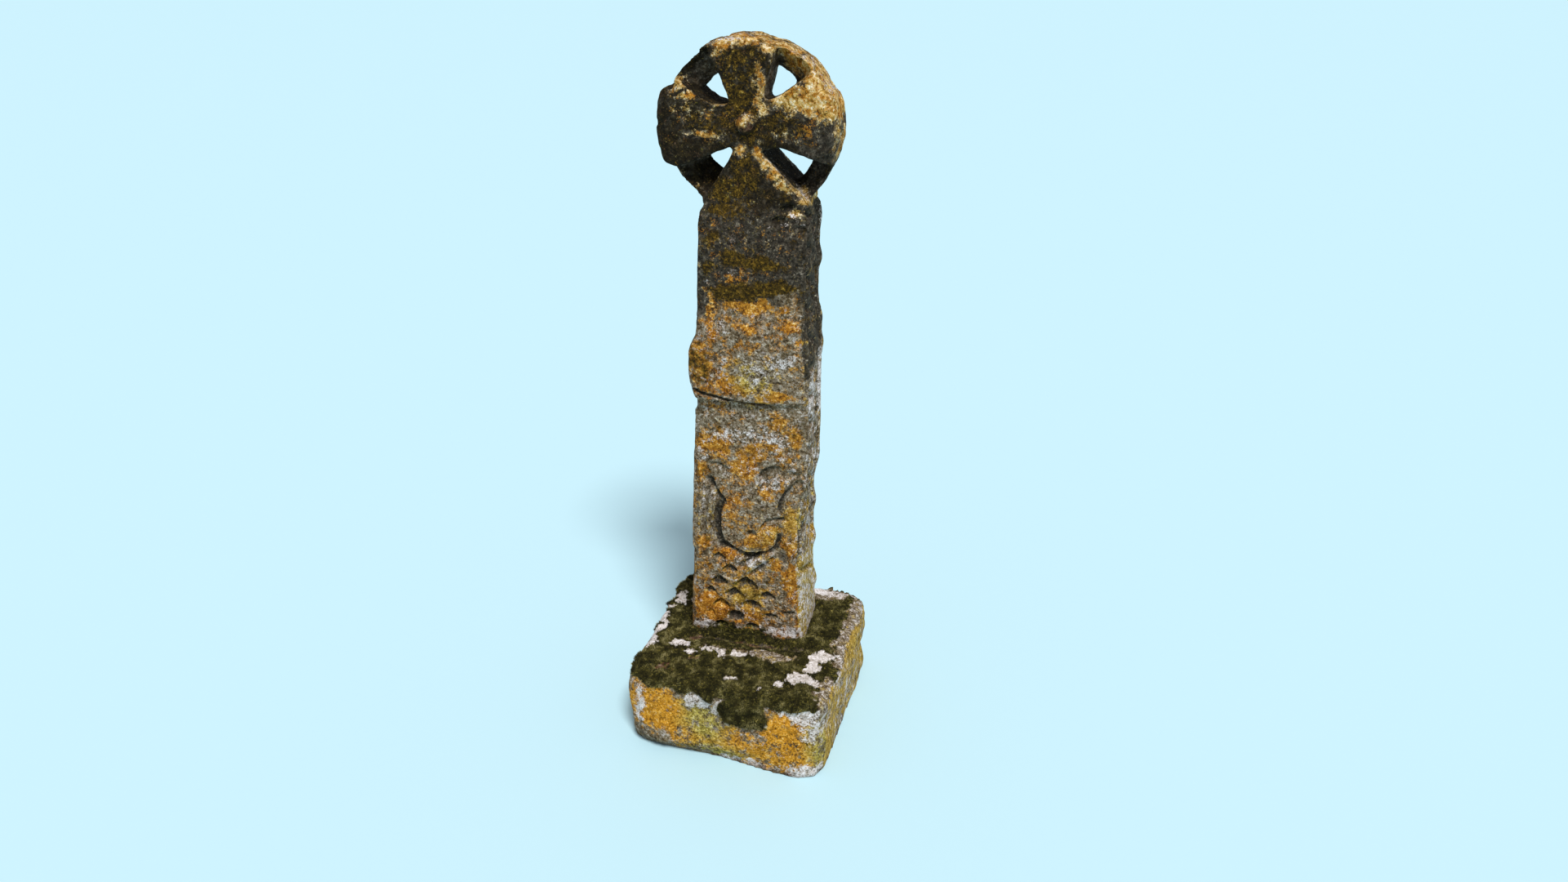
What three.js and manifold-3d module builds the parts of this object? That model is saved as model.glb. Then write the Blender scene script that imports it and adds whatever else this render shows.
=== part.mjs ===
// Wheel-headed stone cross: a carved shaft with a pierced wheel head, set in a squared base stone.
// Millimetres, Z up. X runs across the front and the carved front looks along -Y.
import * as THREE from 'three';
import { mergeVertices } from 'three/addons/utils/BufferGeometryUtils.js';
import Module from 'manifold-3d';

const wasm = await Module();
wasm.setup();

// Base stone
const BASE_HEIGHT = 270;
const BASE_LEFT = -313;
const BASE_RIGHT = 330;
const BASE_FRONT = -422;
const BASE_BACK = 230;
const BASE_LEFT_BATTER = 4;
const BASE_RIGHT_OVERHANG = 10;
const BASE_FRONT_BATTER = 10;
const BASE_BACK_BATTER = 8;
const BASE_SIDE_WAVE = 4;
const BASE_TOP_WAVE = 1.6;
const BASE_TOP_CROWN = 5;
const BASE_TOP_ROUNDING = 42;
const BASE_PLAN_POWER = 9;
const BASE_TURN = THREE.MathUtils.degToRad(-4.5);
const BASE_UNDERCUT = 26;
const BASE_UNDERCUT_HEIGHT = 48;
const SOCKET_DEPTH = 105;
const SOCKET_CLEARANCE = 5;
const BEDDING_GAP = 0.5;

// Shaft
const FOOT_Z = BASE_HEIGHT - SOCKET_DEPTH;
const SHAFT_TOP_Z = 1712;
const SHAFT_TAPER_Z = 1520;
const SHAFT_SHOULDER_Z = 1666;
const SHAFT_LEFT_FOOT = -201;
const SHAFT_LEFT_TOP = -121;
const SHAFT_RIGHT_FOOT = 182;
const SHAFT_RIGHT_WAIST = 168;
const SHAFT_RIGHT_TOP = 176;
const WAIST_FROM = 640;
const WAIST_TO = 1150;
const SHAFT_HALF_DEPTH = 120;
const SHAFT_CORNER_POWER = 12;
const SHAFT_SURFACE_WAVE = 1.6;
const BAND_BOTTOM = 1093;
const BAND_TOP = 1392;
const BAND_SLOPE = 100;
const LEDGE_RISE = 10;
const LEDGE_Z = BAND_BOTTOM - 6;
const BAND_FRONT = 22;
const BAND_FADE = 0.55;
const SWELL_BOTTOM = 830;
const SWELL_TOP = 1400;
const SWELL_RISE = 110;
const SWELL_FALL = 180;
const SWELL_OUT = 17;
const SWELL_BACK = SWELL_OUT * 0.4;
const BULGE_TOP = 1300;
const BULGE_BOTTOM = 1064;
const BULGE_RISE = 105;
const BULGE_FALL = 74;
const BULGE_OUT = 27;
const SHAFT_THINNING = 5;
const SHAFT_THINNING_HEIGHT = 1200;

// Wheel head
const HEAD_Z = 1848;
const HEAD_THICK = 172;
const RING_RADII = [239, 226, 221, 248];
const HEAD_RIM_ROUND = 22;
const RING_RIM_DEPTH = 28;
const RING_SLOPE = 1.07;
const NECK_DEPTH_FRONT = 94;
const NECK_DEPTH_BACK = 70;
const FLANK_DRAFT = 0.02;
const BOSS_RADIUS = 23;
const BOSS_PROUD = 13;
const BOSS_X = 6;
const BOSS_Z = HEAD_Z + 16;

// Carving
const PIT_STEP_X = 96;
const PIT_STEP_Z = 43.5;
const PIT_FIRST_X = -94;
const PIT_FIRST_Z = 296;
const PIT_ROWS = 8;
const PIT_HALF_WIDTH = 24;
const PIT_HALF_HEIGHT = 25;
const PIT_DEPTH = 17;
const PIT_LIFT = 0.55;
const GROOVE_WIDTH = 17;
const GROOVE_DEPTH = 12;
const TWIST_STEP = 88;
const TWIST_FIRST = 618;
const TWIST_LAST = 1630;
const TWIST_DEPTH = 12;
const TWIST_PANEL_HALF = 66;

const clamp01 = (value) => Math.min(1, Math.max(0, value));
const smooth = (low, high, value) => {
  const t = clamp01((value - low) / (high - low));
  return t * t * (3 - 2 * t);
};
const mix = (a, b, t) => a + (b - a) * t;

// Slow unevenness of a hand-dressed face.
const wave = (a, b) => Math.sin(a * 0.021 + b * 0.013) + Math.sin(b * 0.029 - a * 0.011 + 1.7)
  + 0.6 * Math.sin(a * 0.047 + b * 0.041 + 0.4);

function signedVolume(position, index) {
  const a = new THREE.Vector3();
  const b = new THREE.Vector3();
  const c = new THREE.Vector3();
  let total = 0;
  for (let i = 0; i < index.count; i += 3) {
    a.fromBufferAttribute(position, index.getX(i));
    b.fromBufferAttribute(position, index.getX(i + 1));
    c.fromBufferAttribute(position, index.getX(i + 2));
    total += a.dot(b.cross(c));
  }
  return total;
}

// Closed solid, with its faces turned outward, ready for joining and cutting.
function solid(geometry) {
  const plain = geometry.clone();
  plain.deleteAttribute('normal');
  plain.deleteAttribute('uv');
  const welded = mergeVertices(plain, 1e-3);
  const triangles = new Uint32Array(welded.index.array);
  if (signedVolume(welded.attributes.position, welded.index) < 0) {
    for (let i = 0; i < triangles.length; i += 3) {
      const swap = triangles[i + 1];
      triangles[i + 1] = triangles[i + 2];
      triangles[i + 2] = swap;
    }
  }
  const vertices = new Float32Array(welded.attributes.position.array);
  return new wasm.Manifold(new wasm.Mesh({ numProp: 3, vertProperties: vertices, triVerts: triangles }));
}

function geometryOf(body) {
  const mesh = body.getMesh();
  const geometry = new THREE.BufferGeometry();
  geometry.setAttribute('position', new THREE.BufferAttribute(new Float32Array(mesh.vertProperties), 3));
  geometry.setIndex(new THREE.BufferAttribute(new Uint32Array(mesh.triVerts), 1));
  geometry.computeVertexNormals();
  return geometry;
}

// Box whose grid points are moved by a rule. across and along run -1 to 1, level runs 0 to 1.
function mappedBox(acrossSteps, alongSteps, levelSteps, rule) {
  const geometry = new THREE.BoxGeometry(2, 2, 1, acrossSteps, alongSteps, levelSteps);
  const position = geometry.attributes.position;
  for (let i = 0; i < position.count; i += 1) {
    const point = rule(position.getX(i), position.getY(i), position.getZ(i) + 0.5);
    position.setXYZ(i, point.x, point.y, point.z);
  }
  return geometry;
}

// Tube of given rings: place(turn, t) is the point at turn 0 to 1 round the ring at t 0 to 1 along it.
function loft(sides, steps, place) {
  const geometry = new THREE.CylinderGeometry(1, 1, 1, sides, steps);
  const position = geometry.attributes.position;
  const middle = (t) => {
    const sum = new THREE.Vector3();
    for (let k = 0; k < sides; k += 1) {
      sum.add(place(k / sides, t));
    }
    return sum.divideScalar(sides);
  };
  for (let i = 0; i < position.count; i += 1) {
    const x = position.getX(i);
    const z = position.getZ(i);
    const t = position.getY(i) + 0.5;
    const share = Math.round(((Math.atan2(x, z) / (2 * Math.PI)) + 1) * sides) % sides;
    const point = Math.hypot(x, z) < 0.5 ? middle(t) : place(share / sides, t);
    position.setXYZ(i, point.x, point.y, point.z);
  }
  return geometry;
}

// Levels made of evenly divided runs, each [from, to, steps].
function levels(runs) {
  const list = [runs[0][0]];
  for (const [from, to, steps] of runs) {
    for (let k = 1; k <= steps; k += 1) {
      list.push(mix(from, to, k / steps));
    }
  }
  return list;
}

// Square grid pulled in to a block with rounded corners.
function roundedPlan(u, v, power) {
  const size = (Math.abs(u) ** power + Math.abs(v) ** power) ** (1 / power);
  const reach = Math.max(Math.abs(u), Math.abs(v));
  return size > 0 ? { u: (u * reach) / size, v: (v * reach) / size } : { u: 0, v: 0 };
}

// Share of a swelling at height z: it grows over a rise from its bottom and dies out over a fall to its top.
function swelling(z, bottom, rise, top, fall) {
  return smooth(bottom, bottom + rise, z) * (1 - smooth(top - fall, top, z));
}

const bandShare = (z) => swelling(z, LEDGE_Z, LEDGE_RISE, BAND_TOP, BAND_SLOPE);
const bulgeShare = (z) => swelling(z, BULGE_BOTTOM, BULGE_RISE, BULGE_TOP, BULGE_FALL);
const swellShare = (z) => swelling(z, SWELL_BOTTOM, SWELL_RISE, SWELL_TOP, SWELL_FALL);
const headShare = (z) => smooth(SHAFT_TAPER_Z, SHAFT_TOP_Z, z);

// Shaft faces at a height

function shaftLeft(z) {
  const t = (z - BASE_HEIGHT) / (SHAFT_SHOULDER_Z - BASE_HEIGHT);
  return mix(SHAFT_LEFT_FOOT, SHAFT_LEFT_TOP, t ** 0.9) - BULGE_OUT * bulgeShare(z);
}

function shaftRight(z) {
  const foot = (SHAFT_RIGHT_FOOT - SHAFT_RIGHT_WAIST) * (1 - smooth(WAIST_FROM - 400, WAIST_FROM, z));
  const top = (SHAFT_RIGHT_TOP - SHAFT_RIGHT_WAIST) * smooth(WAIST_TO, WAIST_TO + 500, z);
  return SHAFT_RIGHT_WAIST + foot + top + SWELL_OUT * swellShare(z);
}

function halfDepth(z) {
  const thinned = SHAFT_THINNING * clamp01((z - BASE_HEIGHT) / SHAFT_THINNING_HEIGHT);
  return mix(SHAFT_HALF_DEPTH - thinned, HEAD_THICK / 2 - 1, headShare(z));
}

function shaftFront(z, across = 0) {
  const band = BAND_FRONT * bandShare(z) * (1 - BAND_FADE * smooth(-0.2, 1, across));
  return -halfDepth(z) - band;
}

const shaftBack = (z) => halfDepth(z) + SWELL_BACK * swellShare(z);

const SHAFT_LEVELS = levels([
  [FOOT_Z, BASE_HEIGHT, 2],
  [BASE_HEIGHT, LEDGE_Z - 47, 11],
  [LEDGE_Z - 47, LEDGE_Z, 1],
  [LEDGE_Z, LEDGE_Z + LEDGE_RISE, 1],
  [LEDGE_Z + LEDGE_RISE, BAND_TOP - BAND_SLOPE, 4],
  [BAND_TOP - BAND_SLOPE, BAND_TOP, 4],
  [BAND_TOP, SHAFT_TOP_Z, 6],
]);
const SHAFT_ACROSS_STEPS = 8;
const SHAFT_ALONG_STEPS = 6;

function shaftBlock(grow, bottom) {
  const steps = SHAFT_LEVELS.length - 1;
  return mappedBox(SHAFT_ACROSS_STEPS, SHAFT_ALONG_STEPS, steps, (across, along, level) => {
    const z = SHAFT_LEVELS[Math.round(level * steps)];
    const plan = roundedPlan(across, along, SHAFT_CORNER_POWER);
    const left = shaftLeft(Math.max(z, BASE_HEIGHT));
    const x = mix(left - grow, shaftRight(z) + grow, (plan.u + 1) / 2);
    const y = mix(shaftFront(z, plan.u) - grow, shaftBack(z) + grow, (plan.v + 1) / 2);
    const uneven = z > BASE_HEIGHT + 30 ? SHAFT_SURFACE_WAVE : 0;
    return new THREE.Vector3(
      x + uneven * Math.abs(plan.u) * wave(z, y * 2) * 0.8,
      y + uneven * Math.abs(plan.v) * wave(x * 2, z),
      z === FOOT_Z ? bottom : z,
    );
  });
}

// Wheel head outline: four wide arm ends just outside a ring.
const ARM_ENDS = [
  { angle: 1, half: 25, radius: 249 },
  { angle: 95, half: 26, radius: 234 },
  { angle: 179, half: 25.5, radius: 244 },
];

function headRadius(angle) {
  let radius = RING_RADII[Math.floor(angle / 90) % 4];
  for (const arm of ARM_ENDS) {
    const away = Math.abs(((angle - arm.angle + 540) % 360) - 180);
    radius = mix(radius, arm.radius, 1 - smooth(arm.half - 2, arm.half + 2.5, away));
  }
  return radius - 9 * smooth(22, 6, Math.abs(angle - 64));
}

const RIM = [
  { y: -HEAD_THICK / 2, inset: HEAD_RIM_ROUND },
  { y: -HEAD_THICK / 2 + 8, inset: 8 },
  { y: -HEAD_THICK / 2 + 28, inset: 0 },
  { y: HEAD_THICK / 2 - 28, inset: 0 },
  { y: HEAD_THICK / 2 - 8, inset: 8 },
  { y: HEAD_THICK / 2, inset: HEAD_RIM_ROUND },
];

function headDisc() {
  return loft(64, RIM.length - 1, (turn, t) => {
    const rim = RIM[Math.round(t * (RIM.length - 1))];
    const angle = turn * 2 * Math.PI;
    const radius = headRadius(turn * 360) - rim.inset;
    return new THREE.Vector3(radius * Math.cos(angle), rim.y, HEAD_Z + radius * Math.sin(angle));
  });
}

// The four sunk spandrels between the arms. Each flank runs from the crossing out to the rim, with a flare.
const SPANDRELS = [
  {
    neck: 158,
    back: [3, -12],
    first: { from: [-37, 72], bend: [-55, 126], to: [-101, 213] },
    second: { from: [-43, 64], bend: [-129, 56], to: [-181, 136] },
  },
  {
    neck: 170,
    back: [-12, -12],
    first: { from: [63, 78], bend: [113, 94], to: [173, 148] },
    second: { from: [54, 84], bend: [69, 148], to: [91, 224] },
  },
  {
    neck: 144,
    back: [0, 0],
    first: { from: [-37, -42], bend: [-105, -72], to: [-203, -108] },
    second: { from: [-27, -52], bend: [-64, -114], to: [-121, -194] },
  },
  {
    neck: 188,
    back: [0, 0],
    first: { from: [40, -48], bend: [93, -104], to: [183, -194] },
    second: { from: [97, -40], bend: [167, -64], to: [251, -94] },
  },
];

function flankPoint(flank, t, deeper) {
  const one = 1 - t;
  const x = one * one * flank.from[0] + 2 * one * t * flank.bend[0] + t * t * flank.to[0];
  const z = one * one * flank.from[1] + 2 * one * t * flank.bend[1] + t * t * flank.to[1];
  return new THREE.Vector2(x + deeper.x, z + deeper.y);
}

function reachOnFlank(flank, radius, deeper) {
  let low = 0;
  let high = 1.6;
  for (let k = 0; k < 30; k += 1) {
    const half = (low + high) / 2;
    if (flankPoint(flank, half, deeper).length() < radius) {
      low = half;
    } else {
      high = half;
    }
  }
  return low;
}

const SPANDREL_SIDES = 18;

function spandrel(shape, side, neckDepth) {
  const outside = 34;
  const outward = new THREE.Vector2(
    shape.first.to[0] + shape.second.to[0],
    shape.first.to[1] + shape.second.to[1],
  ).normalize();
  const rimRadius = shape.neck + (neckDepth - RING_RIM_DEPTH) * RING_SLOPE;
  return loft(SPANDREL_SIDES, 3, (turn, t) => {
    const depth = [-outside, RING_RIM_DEPTH, neckDepth, neckDepth + 14][Math.round(t * 3)];
    const radius = depth > neckDepth ? shape.neck : rimRadius - (depth - RING_RIM_DEPTH) * RING_SLOPE;
    const deeper = outward.clone().multiplyScalar(FLANK_DRAFT * Math.max(depth, 0));
    if (side > 0) {
      deeper.add(new THREE.Vector2(shape.back[0], shape.back[1]));
    }
    const count = Math.round(turn * SPANDREL_SIDES);
    const third = SPANDREL_SIDES / 3;
    const reach = [
      reachOnFlank(shape.first, radius, deeper),
      reachOnFlank(shape.second, radius, deeper),
    ];
    let point;
    if (count <= third) {
      point = flankPoint(shape.first, reach[0] * (count / third), deeper);
    } else if (count < 2 * third) {
      const from = flankPoint(shape.first, reach[0], deeper);
      const to = flankPoint(shape.second, reach[1], deeper);
      point = from.lerp(to, (count - third) / third).setLength(radius);
    } else {
      point = flankPoint(shape.second, reach[1] * ((SPANDREL_SIDES - 1 - count) / (third - 1)), deeper);
    }
    return new THREE.Vector3(point.x, side * (HEAD_THICK / 2 - depth), HEAD_Z + point.y);
  });
}

function boss(side) {
  const geometry = new THREE.SphereGeometry(BOSS_RADIUS, 14, 8);
  geometry.scale(1, (BOSS_PROUD + 8) / BOSS_RADIUS, 1);
  geometry.translate(BOSS_X, side * (HEAD_THICK / 2 - 8), BOSS_Z);
  return geometry;
}

// Pit sunk in the front between strands: steep under its top edge, with a floor that runs out below.
function pit(x, z, halfWidth, halfHeight, depth) {
  const geometry = new THREE.OctahedronGeometry(1);
  const position = geometry.attributes.position;
  for (let i = 0; i < position.count; i += 1) {
    const lift = Math.abs(position.getY(i)) * PIT_LIFT;
    position.setZ(i, position.getZ(i) + lift);
  }
  geometry.scale(halfWidth, depth, halfHeight);
  geometry.translate(x, shaftFront(z), z);
  return geometry;
}

// V groove along a line of front points, given as [x, z].
function groove(points, width, depth) {
  const curve = new THREE.CatmullRomCurve3(points.map(([x, z]) => new THREE.Vector3(x, 0, z)));
  const steps = points.length * 2 - 2;
  return loft(4, steps, (turn, t) => {
    const middle = curve.getPoint(t);
    const along = curve.getTangent(t);
    const across = new THREE.Vector3(along.z, 0, -along.x).normalize();
    const taper = t === 0 || t === 1 ? 0.35 : 1;
    const corner = Math.round(turn * 4);
    const sidePart = [-1, 0, 1, 0][corner] * width * 0.75 * taper;
    const deepPart = [0, 1, 0, -1][corner] * depth * taper;
    return new THREE.Vector3(
      middle.x + across.x * sidePart,
      shaftFront(middle.z) + deepPart,
      middle.z + across.z * sidePart,
    );
  });
}

// Sunk hollows of a two-strand twist on a side face.
function twistPits(side, depth) {
  const cuts = [];
  for (let z = TWIST_FIRST; z <= TWIST_LAST; z += TWIST_STEP) {
    const face = side > 0 ? shaftRight(z) : shaftLeft(z);
    const hollow = new THREE.OctahedronGeometry(1);
    hollow.scale(depth, TWIST_PANEL_HALF * 0.42, TWIST_STEP * 0.36);
    hollow.translate(face, 0, z);
    cuts.push(hollow);
    for (const edge of [-1, 1]) {
      const zEdge = z + TWIST_STEP / 2;
      const faceEdge = side > 0 ? shaftRight(zEdge) : shaftLeft(zEdge);
      const margin = new THREE.OctahedronGeometry(1);
      margin.scale(depth, TWIST_PANEL_HALF * 0.42, TWIST_STEP * 0.36);
      margin.translate(faceEdge, edge * TWIST_PANEL_HALF, zEdge);
      cuts.push(margin);
    }
  }
  return cuts;
}

function plaitPits() {
  const cuts = [];
  for (let row = 0; row < PIT_ROWS; row += 1) {
    const z = PIT_FIRST_Z + row * PIT_STEP_Z;
    const shift = row % 2 === 0 ? 0 : PIT_STEP_X / 2;
    for (let column = -1; column < 3; column += 1) {
      const x = PIT_FIRST_X + shift + column * PIT_STEP_X;
      const underLoop = z > 520 && x > -70;
      if (x < -130 || x > 125 || underLoop) {
        continue;
      }
      const worn = 1 - 0.55 * smooth(20, 120, x);
      cuts.push(pit(x, z, PIT_HALF_WIDTH, PIT_HALF_HEIGHT, PIT_DEPTH * worn));
    }
  }
  return cuts;
}

// Lines of the loop and the broad smooth boss above the plait, and the edge roll at the left.
const FRONT_GROOVES = [
  {
    points: [[-62, 832], [-82, 785], [-88, 700], [-84, 640], [-62, 606], [-18, 588], [36, 584], [82, 612]],
    scale: 1.15,
  },
  { points: [[84, 846], [100, 800], [112, 737], [108, 690]], scale: 1 },
  { points: [[-118, 868], [-112, 908], [-78, 922], [-46, 900], [-34, 862], [-44, 832]], scale: 1 },
  { points: [[-130, 320], [-130, 440], [-131, 600], [-128, 760], [-124, 880]], scale: 0.8 },
  { points: [[62, 716], [86, 704], [112, 708]], scale: 0.8 },
  { points: [[-26, 660], [14, 652], [58, 628], [94, 600]], scale: 0.8 },
];

// Hollows beside the loop and the broad boss.
const LOOP_PITS = [
  { x: -82, z: 866, halfWidth: 28, halfHeight: 34, depth: 13 },
  { x: 86, z: 876, halfWidth: 36, halfHeight: 24, depth: 12 },
  { x: -76, z: 772, halfWidth: 11, halfHeight: 20, depth: 10 },
  { x: 14, z: 655, halfWidth: 13, halfHeight: 12, depth: 9 },
];

// Crack that runs in under the ledge.
const LEDGE_CRACK = { points: [[-120, 1096], [-50, 1089], [20, 1091], [96, 1090]], width: 13, depth: 15 };

function cutAll(body, geometries) {
  return geometries.reduce((left, geometry) => left.subtract(solid(geometry)), body);
}

function crossBody() {
  let body = solid(shaftBlock(0, FOOT_Z)).add(solid(headDisc()));
  body = body.add(solid(boss(-1))).add(solid(boss(1)));
  for (const shape of SPANDRELS) {
    body = body.subtract(solid(spandrel(shape, -1, NECK_DEPTH_FRONT)));
    body = body.subtract(solid(spandrel(shape, 1, NECK_DEPTH_BACK)));
  }
  for (const { points, scale } of FRONT_GROOVES) {
    body = cutAll(body, [groove(points, GROOVE_WIDTH * scale, GROOVE_DEPTH * scale)]);
  }
  body = cutAll(body, plaitPits());
  for (const { x, z, halfWidth, halfHeight, depth } of LOOP_PITS) {
    body = cutAll(body, [pit(x, z, halfWidth, halfHeight, depth)]);
  }
  body = cutAll(body, [groove(LEDGE_CRACK.points, LEDGE_CRACK.width, LEDGE_CRACK.depth)]);
  body = cutAll(body, twistPits(1, TWIST_DEPTH));
  body = cutAll(body, twistPits(-1, TWIST_DEPTH * 0.75));
  return body;
}

// Base stone: squared block, battered, its top edges worn round and its front left foot undercut.
const BASE_LEVELS = [0, 16, BASE_UNDERCUT_HEIGHT, 110, 175, 228, 249, 263, BASE_HEIGHT];

function baseBlock() {
  const steps = BASE_LEVELS.length - 1;
  return mappedBox(10, 10, steps, (across, along, level) => {
    const z = BASE_LEVELS[Math.round(level * steps)];
    const plan = roundedPlan(across, along, BASE_PLAN_POWER);
    const over = Math.max(0, z - (BASE_HEIGHT - BASE_TOP_ROUNDING));
    const inset = BASE_TOP_ROUNDING - Math.sqrt(Math.max(0, BASE_TOP_ROUNDING ** 2 - over ** 2));
    const t = z / BASE_HEIGHT;
    const left = BASE_LEFT + BASE_LEFT_BATTER * t + inset * 0.9;
    const right = BASE_RIGHT + BASE_RIGHT_OVERHANG * t - inset * 0.9;
    const low = 1 - smooth(0, BASE_UNDERCUT_HEIGHT, z);
    const towardsLeft = 1 - smooth(-0.2, 0.75, plan.u);
    const front = BASE_FRONT + BASE_FRONT_BATTER * t + inset + BASE_UNDERCUT * low * towardsLeft;
    const back = BASE_BACK - BASE_BACK_BATTER * t - inset * 0.6;
    const x = mix(left, right, (plan.u + 1) / 2);
    const y = mix(front, back, (plan.v + 1) / 2);
    const onTop = z === BASE_HEIGHT;
    const edge = Math.max(Math.abs(plan.u), Math.abs(plan.v));
    const side = onTop || z === 0 ? 0 : 1;
    return new THREE.Vector3(
      x + side * Math.abs(plan.u) ** 3 * BASE_SIDE_WAVE * wave(y * 0.7, z * 1.3),
      y + side * Math.abs(plan.v) ** 3 * BASE_SIDE_WAVE * wave(x * 0.7, z * 1.3),
      onTop ? z - BASE_TOP_CROWN * edge ** 4 + BASE_TOP_WAVE * wave(x, y) : z,
    );
  });
}

function baseBody() {
  const block = baseBlock();
  block.rotateZ(BASE_TURN);
  return solid(block).subtract(solid(shaftBlock(SOCKET_CLEARANCE, FOOT_Z - BEDDING_GAP)));
}

function node(name, body, colour, roughness) {
  const material = new THREE.MeshStandardMaterial({ color: colour, roughness, metalness: 0 });
  const mesh = new THREE.Mesh(geometryOf(body), material);
  mesh.name = name;
  return mesh;
}

const stoneCross = new THREE.Group();
stoneCross.name = 'stone_cross';
stoneCross.add(node('cross', crossBody(), 0x8a8378, 0.95));
stoneCross.add(node('base_stone', baseBody(), 0x7d7355, 0.95));

// Origin: middle of the whole part, at the level of its underside.
const bounds = new THREE.Box3().setFromObject(stoneCross);
const middle = bounds.getCenter(new THREE.Vector3());
for (const mesh of stoneCross.children) {
  mesh.geometry.translate(-middle.x, -middle.y, -bounds.min.z);
}

export default stoneCross;
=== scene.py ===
import math

import bpy
import numpy as np
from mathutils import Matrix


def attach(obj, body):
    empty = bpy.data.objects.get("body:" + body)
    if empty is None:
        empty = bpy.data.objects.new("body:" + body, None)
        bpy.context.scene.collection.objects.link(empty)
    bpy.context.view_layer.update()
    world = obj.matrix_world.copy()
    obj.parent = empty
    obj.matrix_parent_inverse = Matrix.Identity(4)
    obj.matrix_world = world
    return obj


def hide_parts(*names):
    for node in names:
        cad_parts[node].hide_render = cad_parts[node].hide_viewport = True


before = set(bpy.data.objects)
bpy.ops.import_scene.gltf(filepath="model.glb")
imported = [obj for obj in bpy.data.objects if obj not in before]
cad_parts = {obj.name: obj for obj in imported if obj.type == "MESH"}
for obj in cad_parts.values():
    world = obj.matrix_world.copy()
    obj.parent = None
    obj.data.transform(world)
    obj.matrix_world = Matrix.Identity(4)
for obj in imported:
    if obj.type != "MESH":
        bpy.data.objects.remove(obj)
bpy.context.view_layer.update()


# Base stone
# One squared block of coarse granite, hewn by hand, with a socket in its top that the cross stands in.
# Its arrises are worn round, its top carries a mat of moss, and its front is crusted with orange lichen.

MM = 0.001
BASE_VOXEL = 5.2 * MM
BASE_SMOOTHING = 3
WELD = 0.05 * MM
# Heights between which a face that looks up counts as the top
BASE_SIDE_TOP, BASE_TOP_EDGE = 180, 225
# The hewn surface: sizes of its lumps, dents and grit, and how far they stand out
BASE_LUMP, BASE_DENT, BASE_GRIT = 70, 30, 14
BASE_LUMP_HEIGHT, BASE_GRIT_HEIGHT = 3.0, 1.4
BASE_DEEPEST = -6
# Height over which the relief dies out, so that the underside stays flat
BASE_FLAT = 14
# How far the outlines of the growths wander, and over what length
BASE_FRAY, BASE_FRAY_LENGTH = 16, 46

# Places on the top are x and y, on the front x and z: middle, half widths and strength, in millimetres.
BASE_TOP_WHITE = [
    (-200, -112, 34, 22, 0.95),
    (-170, -150, 24, 12, 0.7),
    (-84, -134, 40, 14, 0.85),
    (4, -136, 40, 10, 0.7),
    (250, -84, 44, 30, 1.15),
    (232, -150, 28, 50, 1.05),
    (214, -208, 50, 28, 1.15),
    (-6, -250, 18, 14, 0.85),
    (76, -270, 26, 14, 0.9),
    (140, -240, 26, 16, 0.85),
    (-300, 0, 24, 150, 0.8),
    (-240, 130, 60, 50, 0.75),
    (230, 272, 110, 22, 0.65),
]
BASE_TOP_BARE = [
    (90, -122, 90, 26, 0.95),
    (-60, -128, 90, 20, 0.6),
    (318, 60, 40, 250, 1.1),
    (300, -250, 50, 60, 0.9),
    (220, 262, 120, 40, 1.0),
    (-318, 20, 22, 260, 0.8),
]
BASE_TOP_DIRT = [
    (-215, -240, 40, 30, 0.75),
    (-145, -180, 40, 20, 0.75),
    (-180, -70, 40, 20, 0.6),
    (-20, -66, 150, 12, 0.5),
]
# Trough that the rain has worn along the foot of the cross, and the low ridge in front of it
TROUGH_Y, TROUGH_HALF, TROUGH_DEPTH = -60, 34, 10
RIDGE_Y, RIDGE_HALF, RIDGE_HEIGHT = -128, 44, 6
TROUGH_REACH, TROUGH_END = 215, 50
TROUGH_FLOOR = 8
# Moss cushions: height, how far large and small ones vary from it, and their sizes
CUSHION_HEIGHT, LARGE_SPREAD, SMALL_SPREAD = 6, 6, 4.5
LARGE_CUSHION, SMALL_CUSHION = 30, 13
# Fringe of moss that hangs over the front edge: heights where it starts and is full, and how far it wanders
FRINGE_FROM, FRINGE_FULL, FRINGE_WANDER = 236, 262, 18
BASE_FRONT_MOSS = [
    (62, 214, 64, 62, 1.0),
    (10, 200, 30, 44, 0.9),
    (-150, 268, 150, 22, 0.7),
    (150, 250, 60, 22, 0.7),
]
BASE_FRONT_ORANGE = [
    (-205, 160, 130, 80, 1.15),
    (-90, 130, 90, 70, 0.7),
    (185, 165, 110, 66, 0.75),
    (225, 100, 90, 60, 0.72),
    (20, 75, 170, 60, 0.75),
    (110, 40, 130, 40, 0.65),
]
BASE_FRONT_YELLOW = [
    (-70, 150, 70, 70, 1.0),
    (-45, 35, 100, 40, 0.9),
    (-95, 215, 50, 36, 0.9),
    (290, 150, 40, 120, 0.8),
]
BASE_FRONT_DARK = [
    (200, 140, 60, 36, 0.6),
    (-60, 196, 30, 18, 0.4),
]
BASE_FRONT_PALE = [
    (-288, 160, 20, 70, 0.6),
    (-95, 222, 42, 22, 0.7),
    (215, 240, 75, 40, 0.85),
    (275, 185, 46, 50, 0.5),
    (262, 20, 70, 30, 0.7),
    (70, 12, 110, 20, 0.5),
    (-20, 205, 30, 30, 0.6),
]


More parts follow.
